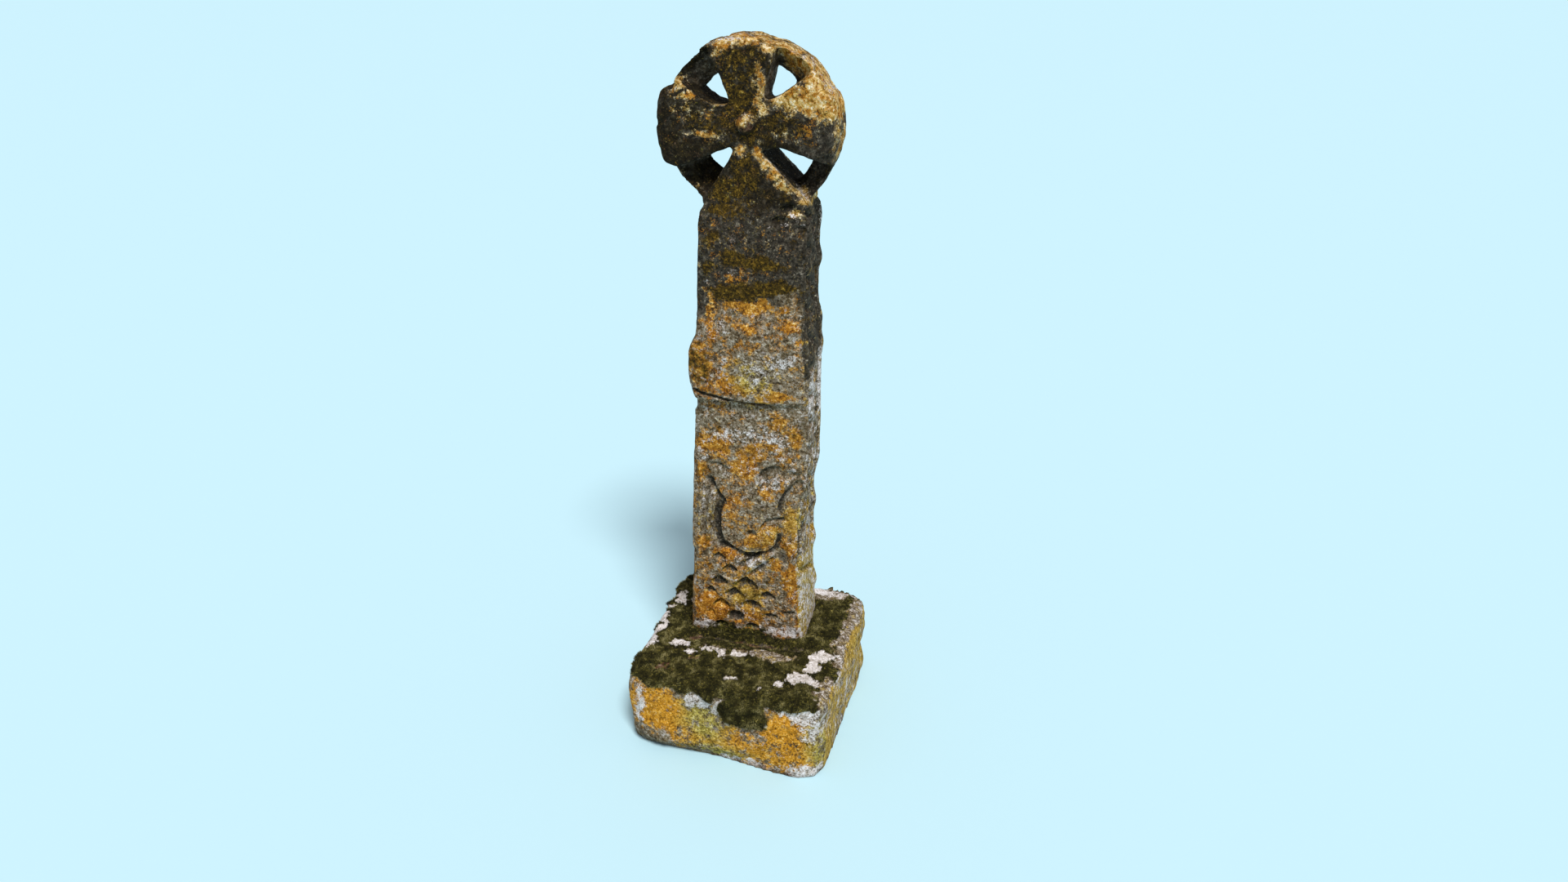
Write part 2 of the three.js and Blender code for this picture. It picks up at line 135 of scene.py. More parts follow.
def worked_copy(node_name, piece_name, voxel, smoothing):
    """The solid of a node as one even skin of small quads, ready to be weathered."""
    piece = bpy.data.objects.new(piece_name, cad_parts[node_name].data.copy())
    piece.data.name = piece_name
    piece.data.materials.clear()
    bpy.context.scene.collection.objects.link(piece)
    bpy.ops.object.select_all(action="DESELECT")
    piece.select_set(True)
    bpy.context.view_layer.objects.active = piece
    bpy.ops.object.mode_set(mode="EDIT")
    bpy.ops.mesh.select_all(action="SELECT")
    bpy.ops.mesh.remove_doubles(threshold=WELD)
    bpy.ops.object.mode_set(mode="OBJECT")
    skin = piece.modifiers.new("even_skin", "REMESH")
    skin.mode = "VOXEL"
    skin.voxel_size = voxel
    bpy.ops.object.modifier_apply(modifier=skin.name)
    wear = piece.modifiers.new("worn_edges", "SMOOTH")
    wear.iterations = smoothing
    bpy.ops.object.modifier_apply(modifier=wear.name)
    return piece


def read_vertices(mesh, what):
    """Places or normals of a mesh's vertices, one row each."""
    flat = np.empty(len(mesh.vertices) * 3)
    mesh.vertices.foreach_get(what, flat)
    return flat.reshape(-1, 3)


def write_vertices(mesh, points):
    mesh.vertices.foreach_set("co", points.ravel())
    mesh.update()


# Least cover: below nought, so that a growth leaves no stray specks where it doesn't live
LEAST_COVER = -0.3


def write_cover(mesh, name, share):
    """How much of a growth there is at each vertex, for the material to read."""
    attribute = mesh.attributes.new(name, "FLOAT", "POINT")
    attribute.data.foreach_set("value", np.clip(share, LEAST_COVER, 1).astype(np.float32))


def grain(points, size, seed):
    """Smooth random field from -1 to 1, with lumps of about the given size in millimetres."""
    place = points / (size * MM) + seed * 17.37
    cell = np.floor(place).astype(np.int64)
    part = place - cell
    part = part * part * (3 - 2 * part)
    total = np.zeros(len(points))
    for corner in range(8):
        step = np.array([corner & 1, corner >> 1 & 1, corner >> 2])
        key = (cell + step) * np.array([73856093, 19349663, 83492791])
        mixed = (key[:, 0] ^ key[:, 1] ^ key[:, 2]) & 0x7FFFFFFF
        mixed = (mixed ^ (mixed >> 13)) * 1274126177 & 0x7FFFFFFF
        value = ((mixed ^ (mixed >> 15)) & 0xFFFF) / 32767.5 - 1
        total += value * np.prod(np.where(step, part, 1 - part), axis=1)
    return total


def broken(points, size, seed):
    """Random field with lumps of the given size in millimetres and two finer sizes in them."""
    return (grain(points, size, seed) + 0.7 * grain(points, size / 2.2, seed + 1)
            + 0.5 * grain(points, size / 5, seed + 2)) / 1.5


def frayed(points, reach, size, seed):
    """Points pushed about, so that what is painted by place gets a ragged outline."""
    return points + reach * MM * np.stack([grain(points, size, seed + k) for k in range(3)], axis=1)


def ramp(low, high, value):
    """Soft step from 0 at one value to 1 at another."""
    share = np.clip((value - low) / (high - low), 0, 1)
    return share * share * (3 - 2 * share)


# Where an oval ends and where it is full, as shares of its half width
PATCH_EDGE, PATCH_CORE = 1.7, 0.3


def patches(first, second, places):
    """Cover from soft ovals, each given by its middle, its half widths and its strength."""
    cover = np.zeros(len(first))
    for middle_a, middle_b, half_a, half_b, strength in places:
        away = np.hypot((first - middle_a) / half_a, (second - middle_b) / half_b)
        cover = np.maximum(cover, strength * ramp(PATCH_EDGE, PATCH_CORE, away))
    return cover


base = worked_copy("base_stone", "weathered_base", BASE_VOXEL, BASE_SMOOTHING)
points = read_vertices(base.data, "co")
normals = read_vertices(base.data, "normal")
ragged = frayed(points, BASE_FRAY, BASE_FRAY_LENGTH, 101)
x, y, z = (ragged / MM).T
upward = ramp(0.35, 0.8, normals[:, 2]) * ramp(BASE_SIDE_TOP, BASE_TOP_EDGE, points[:, 2] / MM)
frontward = ramp(0.25, 0.6, -normals[:, 1]) * (1 - upward)
rightward = ramp(0.3, 0.7, normals[:, 0])
elsewhere = (1 - frontward) * (1 - upward)
rough = grain(points, BASE_LUMP, 1) + 0.5 * grain(points, BASE_DENT, 2)

ragged_edge = 0.36 * broken(points, 44, 31) + 0.42 * broken(points, 19, 32)
white = ramp(0.3, 0.75, patches(x, y, BASE_TOP_WHITE) + ragged_edge)
bare = np.maximum(white, ramp(0.3, 0.75, patches(x, y, BASE_TOP_BARE) + ragged_edge))
near_foot = ramp(TROUGH_REACH, TROUGH_REACH - TROUGH_END, np.abs(x))
trough = upward * near_foot * ramp(TROUGH_HALF, TROUGH_FLOOR, np.abs(y - TROUGH_Y))
ridge = upward * near_foot * ramp(RIDGE_HALF, TROUGH_FLOOR, np.abs(y - RIDGE_Y))
moss = upward * (1.05 - 0.95 * bare) + frontward * patches(x, z, BASE_FRONT_MOSS)
fringe = ramp(FRINGE_FROM, FRINGE_FULL, z + FRINGE_WANDER * broken(points, 60, 37))
moss += frontward * (1 - rightward) * 0.5 * fringe
soil = upward * patches(x, y, BASE_TOP_DIRT)
moss = ramp(0.25, 0.7, moss + 0.3 * broken(points, 40, 34) - 0.4 * trough - 0.7 * soil)

stone_lift = BASE_LUMP_HEIGHT * rough + BASE_GRIT_HEIGHT * grain(points, BASE_GRIT, 4)
cushions = CUSHION_HEIGHT + LARGE_SPREAD * grain(points, LARGE_CUSHION, 5)
cushions = cushions + SMALL_SPREAD * grain(points, SMALL_CUSHION, 6)
moss_lift = moss * cushions
grounded = ramp(0, BASE_FLAT, points[:, 2] / MM)
lift = np.maximum(stone_lift * (1 - 0.6 * moss) + moss_lift, BASE_DEEPEST)
lift = (lift + RIDGE_HEIGHT * ridge - TROUGH_DEPTH * trough) * grounded
write_vertices(base.data, points + normals * lift[:, None] * MM)

# Growths: what each face carries, then the sum. Streaks are drawn out downwards.
STREAK = np.array([1, 1, 0.25])
streaks = broken(points * STREAK, 26, 7)
wide = broken(points, 180, 42)
front_orange = 0.85 * patches(x, z, BASE_FRONT_ORANGE) + 0.36 * broken(points, 45, 10)
hidden_orange = 0.36 + 0.3 * rightward + 0.3 * streaks + 0.35 * wide
top_orange = 0.12 * bare - 0.3 * white
front_yellow = frontward * patches(x, z, BASE_FRONT_YELLOW)
front_pale = patches(x, z, BASE_FRONT_PALE) + 0.04 + 0.2 * broken(points, 50, 38)
hidden_pale = 0.3 - 0.12 * rightward + 0.3 * streaks - 0.3 * wide
top_pale = 0.97 * white + 0.38 * bare - 0.1
front_dark = 0.14 + 0.14 * broken(points, 40, 9) + patches(x, z, BASE_FRONT_DARK)
write_cover(base.data, "moss", moss)
write_cover(base.data, "orange", frontward * front_orange + elsewhere * hidden_orange + 0.1
            + upward * top_orange)
write_cover(base.data, "yellow", np.maximum(rightward * 0.55, upward * 0.7) + front_yellow + 0.12)
write_cover(base.data, "olive", elsewhere * (0.1 + 0.2 * grain(points, 60, 8)))
write_cover(base.data, "pale", upward * top_pale + frontward * front_pale + elsewhere * hidden_pale)
# Darker towards the bottom of the stone, over its lowest 30 and 60 mm
write_cover(base.data, "dirt", soil + 0.4 * ramp(30, 0, z))
# The trough is darkened with patina, part dark soil and part painted shadow along the foot of the cross
write_cover(base.data, "patina", 0.3 * ramp(60, 0, z) + 0.1 * elsewhere + 0.75 * trough
            + frontward * front_dark)


def linear(colour):
    """Linear colour from an sRGB hex value."""
    parts = [int(colour[i:i + 2], 16) / 255 for i in (1, 3, 5)]
    return [p / 12.92 if p <= 0.04045 else ((p + 0.055) / 1.055) ** 2.4 for p in parts] + [1.0]


def add(tree, kind, settings=None, links=None):
    """One shader node: its properties and plain inputs by name, its linked inputs by socket."""
    made = tree.nodes.new(kind)
    for name, value in (settings or {}).items():
        if name == "stops":
            stops = made.color_ramp.elements
            while len(stops) < len(value):
                stops.new(1.0)
            for stop, (place, colour) in zip(stops, value):
                stop.position = place
                stop.color = linear(colour)
        elif isinstance(name, int) or name in made.inputs:
            made.inputs[name].default_value = value
        else:
            setattr(made, name, value)
    for name, source in (links or {}).items():
        tree.links.new(source, made.inputs[name])
    return made


def per(size):
    """Texture scale that gives a pattern of the given size in millimetres."""
    return 1000 / size


# Granite: pale quartz and felspar grains in a dull brown-grey body, weathered open and matt, never polished.
STONE_STOPS = [(0.0, "#2B2115"), (0.25, "#584831"), (0.5, "#7E6E57"), (0.74, "#A19583"), (1.0, "#DDD5CA")]

# What grows on it; the patina colour also serves as painted shade in hollows, in the sunk ring, on the right
# side and in the trough, and the crust colour as painted light on the head
PATINA_AND_SHADE_STOPS = [(0.0, "#15120D"), (0.26, "#29241D"), (0.52, "#3D372D"), (0.78, "#595145"), (1.0, "#81786A")]
ALGAE_STOPS = [(0.0, "#0C0803"), (0.3, "#191307"), (0.6, "#271F0F"), (0.85, "#392E19"), (1.0, "#55482C")]
CRUST_AND_LIGHT_STOPS = [(0.0, "#5E4418"), (0.28, "#B48634"), (0.54, "#E0BB72"), (0.8, "#F4E3BE"), (1.0, "#FDF8EC")]
PALE_STOPS = [(0.0, "#857969"), (0.35, "#CABFB5"), (0.65, "#EEE6E4"), (1.0, "#FDF9FA")]
OLIVE_STOPS = [(0.0, "#140E03"), (0.35, "#332607"), (0.62, "#55400F"), (0.85, "#7B5C19"), (1.0, "#A9883D")]
SOIL_STOPS = [(0.0, "#2A180E"), (0.5, "#5E3F2C"), (1.0, "#9A7458")]
MAT_STOPS = [(0.0, "#070802"), (0.3, "#201F0A"), (0.58, "#403C15"), (0.82, "#6E642C"), (1.0, "#AB9A58")]
# From the bottom up: cover name, size of a growth in millimetres, width of its edge, and its colours.
# The orange lichen is golden where it gets the most light and browner on the shaft: each piece gives its own.
GROWTHS = [
    ("patina", 34, 0.60, PATINA_AND_SHADE_STOPS),
    ("algae", 26, 0.60, ALGAE_STOPS),
    ("crust", 30, 0.50, CRUST_AND_LIGHT_STOPS),
    ("orange", 24, 0.40, None),
    ("pale", 22, 0.40, PALE_STOPS),
    ("olive", 26, 0.50, OLIVE_STOPS),
    ("dirt", 22, 0.50, SOIL_STOPS),
    ("moss", 20, 0.30, MAT_STOPS),
]
GOLDEN_STOPS = [(0.0, "#5C3A0A"), (0.28, "#AA6F13"), (0.58, "#DA911E"), (0.82, "#EDAF42"), (1.0, "#F4D897")]
YELLOW_STOPS = [(0.0, "#4C4114"), (0.35, "#948034"), (0.7, "#C8B258"), (1.0, "#E8D998")]
# Sizes of the stone's own flecks, crystals and clumps of crystals, in millimetres
FLECK = 5
CRYSTAL = 6
CLUMP = 17
# Shares of the three patterns in the light and dark of the stone, and the span that fills the colour range
CLUMP_SHARE, FLECK_SHARE, CRYSTAL_SHARE = 0.9, 0.6, 0.2
DARKEST, LIGHTEST = 0.62, 1.10
# How far a growth's own pattern and the flecks move its edge, and the sum at which stone and growth are even
SPOT_REACH, FLECK_REACH, EVEN = 2.4, 1.1, 2.25
# Height of the light and dark of the stone in the bump, and the share that each growth adds to it
CRUST_HEIGHT = 3.0 * MM
GROWTH_RISE = 0.25
# Sockets of the colour mix: share, colour below, colour above, and result
MIX_SHARE, MIX_BELOW, MIX_ABOVE, MIXED = 0, 6, 7, 2


def lichened_stone(name, orange_stops):
    """Matt granite under its growths, each spread by its cover on the piece and broken up by noise."""
    material = bpy.data.materials.new(name)
    material.use_nodes = True
    tree = material.node_tree
    tree.nodes.clear()
    place = add(tree, "ShaderNodeTexCoord").outputs["Object"]
    fleck = add(tree, "ShaderNodeTexNoise", {"Scale": per(FLECK), "Detail": 2.0, "Roughness": 0.7},
                {"Vector": place}).outputs["Fac"]
    clump = add(tree, "ShaderNodeTexNoise", {"Scale": per(CLUMP), "Detail": 6.0, "Roughness": 0.75},
                {"Vector": place}).outputs["Fac"]
    crystal = add(tree, "ShaderNodeTexVoronoi", {"Scale": per(CRYSTAL)}, {"Vector": place})
    shade = add(tree, "ShaderNodeSeparateColor", {}, {"Color": crystal.outputs["Color"]}).outputs[0]
    shade = add(tree, "ShaderNodeMath", {"operation": "MULTIPLY", 1: CRYSTAL_SHARE}, {0: shade}).outputs[0]
    for pattern, share in ((clump, CLUMP_SHARE), (fleck, FLECK_SHARE)):
        shade = add(tree, "ShaderNodeMath", {"operation": "MULTIPLY_ADD", 1: share},
                    {0: pattern, 2: shade}).outputs[0]
    shade = add(tree, "ShaderNodeMapRange", {"From Min": DARKEST, "From Max": LIGHTEST},
                {"Value": shade}).outputs[0]
    colour = add(tree, "ShaderNodeValToRGB", {"stops": STONE_STOPS}, {"Fac": shade}).outputs["Color"]
    height = shade
    for growth, size, edge, stops in GROWTHS:
        spread = add(tree, "ShaderNodeAttribute", {"attribute_name": growth}).outputs["Fac"]
        spots = add(tree, "ShaderNodeTexNoise", {"Scale": per(size), "Detail": 5.0, "Roughness": 0.7},
                    {"Vector": place}).outputs["Fac"]
        for pattern, reach in ((spots, SPOT_REACH), (fleck, FLECK_REACH)):
            spread = add(tree, "ShaderNodeMath", {"operation": "MULTIPLY_ADD", 1: reach},
                         {0: pattern, 2: spread}).outputs[0]
        limits = {"interpolation_type": "SMOOTHSTEP",
                  "From Min": EVEN - edge / 2, "From Max": EVEN + edge / 2}
        share = add(tree, "ShaderNodeMapRange", limits, {"Value": spread}).outputs[0]
        tint = add(tree, "ShaderNodeValToRGB", {"stops": stops or orange_stops},
                   {"Fac": shade}).outputs["Color"]
        if growth == "orange":
            yellow = add(tree, "ShaderNodeAttribute", {"attribute_name": "yellow"}).outputs["Fac"]
            straw = add(tree, "ShaderNodeValToRGB", {"stops": YELLOW_STOPS}, {"Fac": shade}).outputs["Color"]
            tint = add(tree, "ShaderNodeMix", {"data_type": "RGBA"},
                       {MIX_SHARE: yellow, MIX_BELOW: tint, MIX_ABOVE: straw}).outputs[MIXED]
        colour = add(tree, "ShaderNodeMix", {"data_type": "RGBA"},
                     {MIX_SHARE: share, MIX_BELOW: colour, MIX_ABOVE: tint}).outputs[MIXED]
        height = add(tree, "ShaderNodeMath", {"operation": "MULTIPLY_ADD", 1: GROWTH_RISE},
                     {0: share, 2: height}).outputs[0]
    bump = add(tree, "ShaderNodeBump", {"Strength": 0.9, "Distance": CRUST_HEIGHT},
               {"Height": height}).outputs[0]
    shader = add(tree, "ShaderNodeBsdfPrincipled",
                 {"Roughness": 0.93, "IOR": 1.5, "Specular IOR Level": 0.15},
                 {"Base Color": colour, "Normal": bump})
    add(tree, "ShaderNodeOutputMaterial", {}, {"Surface": shader.outputs[0]})
    return material


base.data.materials.append(lichened_stone("mossy_granite", GOLDEN_STOPS))
base.data.shade_smooth()
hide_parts("base_stone")
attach(base, "root")


# Moss
# Low cushions of feathery shoots, rooted in the grit on top of the base stone and held by nothing else.
# Each shoot is a small rosette of pointed leaves, dark at the root and straw green at the tips.

SHOOTS = 8000
LEAVES = 5
LEAF_WIDTH = 2.6
LEAF_THICKNESS = 1.0
LEAF_RISE = (3.0, 7.5)
LEAF_REACH = (2.5, 6.0)
ROOT_DEPTH = 1.5
# Shoots stand where the mat is at least this thick, and not past this place at the right and back edges
THICK_MOSS = 0.72
MOSS_EDGE = 286
# How unevenly the leaves stand round the stem, in radians, how light the tips are, and the painted shade that
# darkens them in the trough
LEAF_STRAY = 0.4
TIP_LIGHT = (0.5, 1.5)
TROUGH_SHADE = 0.7
# Any direction that no stem has, to start the leaves from
START_WAY = [0.31, 0.92, 0.23]

rng = np.random.default_rng(41)
roots = read_vertices(base.data, "co") / MM
upright = read_vertices(base.data, "normal")
mossy = np.flatnonzero((moss > THICK_MOSS) & (roots[:, :2].max(axis=1) < MOSS_EDGE))
chosen = rng.choice(mossy, size=min(SHOOTS, len(mossy)), replace=False)
root, stem = roots[chosen], upright[chosen]
aside = np.cross(stem, START_WAY)
aside /= np.linalg.norm(aside, axis=1)[:, None]
ahead = np.cross(stem, aside)
first_turn = rng.uniform(0, 2 * math.pi, len(chosen))
leaf_corners = []
for leaf in range(LEAVES):
    stray = rng.uniform(-LEAF_STRAY, LEAF_STRAY, len(chosen))
    turn = (first_turn + 2 * math.pi * leaf / LEAVES + stray)[:, None]
    rise = rng.uniform(*LEAF_RISE, len(chosen))[:, None]
    reach = rng.uniform(*LEAF_REACH, len(chosen))[:, None]
    outward = np.cos(turn) * aside + np.sin(turn) * ahead
    sideways = np.cos(turn) * ahead - np.sin(turn) * aside
    foot = root - ROOT_DEPTH * stem
    left = foot + LEAF_WIDTH / 2 * sideways
    right = foot - LEAF_WIDTH / 2 * sideways
    keel = foot + LEAF_THICKNESS * outward
    tip = root + rise * stem + reach * outward
    leaf_corners.append(np.stack([left, right, keel, tip], axis=1))
corners = np.concatenate(leaf_corners).reshape(-1, 3) * MM
leaf_faces = np.array([(0, 2, 1), (0, 1, 3), (1, 2, 3), (2, 0, 3)])
faces = (np.arange(0, len(corners), 4)[:, None, None] + leaf_faces).reshape(-1, 3)
shoots_mesh = bpy.data.meshes.new("moss_shoots")
shoots_mesh.from_pydata(corners.tolist(), [], faces.tolist())
tip_tone_and_trough_shade = np.tile((1 - TROUGH_SHADE * trough[chosen]) * rng.uniform(*TIP_LIGHT, len(chosen)), LEAVES)
write_cover(shoots_mesh, "tip", np.outer(tip_tone_and_trough_shade, [0.0, 0.0, 0.0, 1.0]).ravel())
shoots = bpy.data.objects.new("moss_shoots", shoots_mesh)
bpy.context.scene.collection.objects.link(shoots)

# Dry moss: dull leaf that goes from near black at the root to straw green at the tip.
# The leaves are drawn larger than real ones, so that they show.
MOSS_STOPS = [(0.0, "#16150B"), (0.3, "#474220"), (0.6, "#948952"), (1.0, "#E4D8A6")]
CUSHION = 32
dry_moss = bpy.data.materials.new("dry_moss")
dry_moss.use_nodes = True
tree = dry_moss.node_tree
tree.nodes.clear()
place = add(tree, "ShaderNodeTexCoord").outputs["Object"]
height = add(tree, "ShaderNodeAttribute", {"attribute_name": "tip"}).outputs["Fac"]
cushion = add(tree, "ShaderNodeTexNoise", {"Scale": per(CUSHION), "Detail": 4.0},
              {"Vector": place}).outputs["Fac"]
cushion = add(tree, "ShaderNodeMapRange", {"From Min": 0.40, "From Max": 0.62, "To Min": 0.15},
              {"Value": cushion}).outputs[0]
shade = add(tree, "ShaderNodeMath", {"operation": "MULTIPLY"}, {0: height, 1: cushion}).outputs[0]
colour = add(tree, "ShaderNodeValToRGB", {"stops": MOSS_STOPS}, {"Fac": shade}).outputs["Color"]
shader = add(tree, "ShaderNodeBsdfPrincipled", {"Roughness": 0.9, "IOR": 1.4, "Specular IOR Level": 0.2},
             {"Base Color": colour})
add(tree, "ShaderNodeOutputMaterial", {}, {"Surface": shader.outputs[0]})
shoots.data.materials.append(dry_moss)
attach(shoots, "root")


# Cross
# Head and shaft are one tall block of granite, carved by hand and let into the socket of the base.
# The wheel head is pierced between its arms, and a worn plait with a loop above it fills the front below.

CROSS_VOXEL = 6.7 * MM
CROSS_SMOOTHING = 3
AXIS_X = -1.4
AXIS_Y = 97.6
HEAD_Z = 1848

# The shaft's faces, as the solid has them
FACE_FRONT = -120
FACE_LEAN = 5 / 1200
FOOT_Z = 270
SHOULDER_Z = 1666
LEFT_FOOT, LEFT_TOP = -201, -121
LEFT_CURVE = 0.9
RIGHT_FOOT, RIGHT_WAIST, RIGHT_TOP = 182, 168, 176
FLARE_TOP, FLARE_BOTTOM = 640, 240
WIDENS_FROM, WIDENS_TO = 1150, 1650
# Heights round the bulge of the left face, between which the twist is left out
BULGE_BOTTOM, BULGE_TOP = 1050, 1310
# Swelling of the right face: how far out, where it rises and dies out, and where the solid's own rises
SWELL = 17
SWELL_FROM, SWELL_FULL = 735, 850
SWELL_ENDS, SWELL_FADES = 1400, 1220
SOLID_SWELL_FROM, SOLID_SWELL_FULL = 830, 940
SWELL_IN, SWELL_OUT = 60, 140
# What lies in front of this is the front half
FRONT_HALF = -60

# Carved panel on the front, x and z
PANEL_BOTTOM, PANEL_TOP = 296, 940
PANEL_BEHIND = 34
PIT_WALL = 4
PIT_CROWN, PIT_RUNOUT = 0.62, 0.6
END_FADE = 24
CURVE_STEPS = 6
# The dressed face's own unevenness: sizes and heights
FACE_LUMP, FACE_LUMP_HEIGHT = 50, 1.6
FACE_DENT, FACE_DENT_HEIGHT = 20, 0.8
# Finer quads: how far they reach past the panel and the crack, how deep, and where they stop at the sides
FINE_BELOW, FINE_BY_CRACK, FINE_DEPTH = 10, 26, 30
FINE_LEFT, FINE_RIGHT = 6, 160
# Hollows between the strands of the plait: top point, width, height, depth, and 1 where the top is round.
PLAIT_PITS = [
    (-64, 617, 50, 32, 18, 0),
    (-92, 573, 38, 28, 16, 0),
    (18, 585, 62, 28, 16, 1),
    (-57, 531, 42, 30, 15, 0),
    (-92, 487, 46, 36, 20, 0),
    (-5, 490, 74, 46, 22, 0),
    (-122, 441, 36, 30, 16, 0),
    (-43, 446, 54, 36, 20, 0),
    (62, 444, 50, 30, 16, 0),
    (-87, 399, 48, 36, 20, 0),
    (11, 404, 58, 34, 20, 1),
    (-122, 354, 24, 18, 10, 0),
    (-41, 359, 54, 42, 22, 1),
    (72, 363, 54, 22, 15, 1),
    (-89, 313, 48, 32, 19, 1),
    (12, 316, 46, 28, 16, 1),
    (16, 666, 36, 26, 14, 1),
]
# The strands swell where they cross: spacing across and up, a hollow's middle, and the swelling's height.
WEAVE_ACROSS, WEAVE_UP = 94, 88
WEAVE_X, WEAVE_Z = -92, 472
WEAVE_HEIGHT = 3
WEAVE_TOP, WEAVE_TOP_FADE = 590, 530
WEAVE_RIGHT, WEAVE_RIGHT_FADE = 130, 90
# Lines cut in the panel: points, half width and depth.
PANEL_GROOVES = [
    ([(-120, 812), (-128, 743), (-135, 691), (-144, 606)], 8, 6),
    ([(54, 596), (15, 560), (-32, 520)], 8, 8),
    ([(92, 580), (40, 532), (-6, 492)], 8, 8),
    ([(104, 616), (112, 580), (114, 540)], 20, 8),
    ([(92, 366), (122, 370), (158, 376)], 8, 9),
]
# Edges of raised forms: points, depth of the drop on the left of the run, and how far it runs out.
PANEL_EDGES = [
    ([(-66, 606), (-80, 645), (-81, 690), (-74, 734), (-65, 759), (-84, 790), (-108, 844)], 16, 34),
    ([(92, 668), (86, 620), (57, 594), (24, 583), (-9, 584), (-37, 597), (-76, 622)], 15, 30),
    ([(146, 860), (117, 815), (103, 786), (95, 760), (99, 722)], 11, 30),
    ([(126, 720), (72, 711), (49, 692), (30, 652)], 13, 20),
    ([(120, 884), (92, 893), (64, 884), (46, 864), (42, 834)], 9, 60),
    ([(-40, 858), (-80, 886), (-132, 884)], 6, 40),
]
# Raised bands: points, half width and height.
PANEL_BANDS = [
    ([(-100, 812), (-108, 746), (-115, 693), (-123, 606)], 15, 10),
    ([(-142, 840), (-148, 762), (-154, 688), (-162, 600)], 14, 4),
    ([(80, 594), (28, 546), (-24, 502)], 16, 8),
]
# Raised forms: middle, half widths and height.
PANEL_SWELLS = [
    (8, 716, 98, 150, 7),
    (58, 646, 38, 54, 7),
]
# Boss in the middle of the head: its place, and the groove round it
BOSS_X, BOSS_Z, BOSS_RADIUS, BOSS_HEIGHT = 8, 1868, 25, 18
BOSS_GROOVE_HALF, BOSS_GROOVE_DEPTH = 8, 4
# Crack under the ledge, and gouges in the right shoulder
CRACK = [(-147, 1122), (-98, 1112), (-20, 1096), (44, 1087), (101, 1083)]
CRACK_HALF, CRACK_DEPTH = 5, 13
CRACK_END = 110
SHOULDER_GOUGES = [
    (124, 1668, 52, 34, 16, 0),
    (104, 1630, 66, 22, 9, 1),
    (146, 1612, 30, 26, 9, 0),
]

# Two-strand twist on the side faces
TWIST_FIRST, TWIST_STEP = 618, 88
TWIST_TOP = 1630
TWIST_SWING = 38
STRAND_HALF = 27
ROLL_AT, ROLL_HALF = 102, 20
TWIST_DEPTH = 18
UNDER_DROP = 10
CROSSING = 0.6
TWIST_FADE_FROM, TWIST_FADE_TO = 60, 30
TWIST_EDGE, TWIST_EDGE_FADE, TWIST_BEHIND = 118, 104, 26
WEAR_LENGTH = 130
# Bumps that stand out along the right back corner: height, and how far out
BACK_BUMPS = [(1596, 4), (1471, 8), (1294, 6), (1210, 5), (673, 7), (544, 9), (386, 8)]
BUMP_HALF = 46
# Cut down the front edge of the right side and across it, where the twist ends, y and z
NOTCH = [(-102, 730), (-104, 620), (-102, 548), (-86, 520), (-40, 497), (60, 447)]
NOTCH_HALF, NOTCH_DEPTH = 9, 14
NOTCH_IN, NOTCH_OUT = -34, -16

# Weathering: heights where the shaft gives way to the head, and the sizes of lumps, dents and pits
SHAFT_ENDS, HEAD_BEGINS = 1560, 1720
LUMP, DENT, PITTING = 60, 24, 12
SHAFT_LUMP, HEAD_LUMP_MORE = 1.2, 1.8
SHAFT_PITTING, HEAD_PITTING_MORE = 0.5, 0.7
# Chips and nicks, size and depth, out of the rim of the head and out of the arrises of the shaft
RIM_FROM, RIM_FULL = 185, 225
RIM_CHIP, RIM_CHIP_DEPTH, RIM_NICK, RIM_NICK_DEPTH = 42, 11, 20, 5
ARRIS_CHIP, ARRIS_CHIP_DEPTH, ARRIS_NICK, ARRIS_NICK_DEPTH = 55, 8, 18, 4
# How far the outlines of the growths wander, and over what length
CROSS_FRAY, CROSS_FRAY_LENGTH = 14, 40
# Dark stain that runs down from the head: its lower edge on the front, how much softer it is elsewhere,
# how it slants, and how far it drips
STAIN_LOW, STAIN_HIGH = 1350, 1410
STAIN_LOWER, STAIN_HIGHER = 90, 60
STAIN_SLANT, DRIP, LONG_DRIP = 0.16, 30, 70
# Lower edge of the dark on the right side, which is part stain and part painted shadow
SIDE_DARK_LINE, SIDE_DARK_EDGE, SIDE_DARK_SLANT, SIDE_DARK_WANDER = 1190, 24, 0.25, 26

# Orange-brown lichen, in small scabs all over the weathered faces
BROWN_STOPS = [(0.0, "#45270A"), (0.3, "#884F11"), (0.6, "#BC791E"), (0.82, "#DCA146"), (1.0, "#F1D599")]
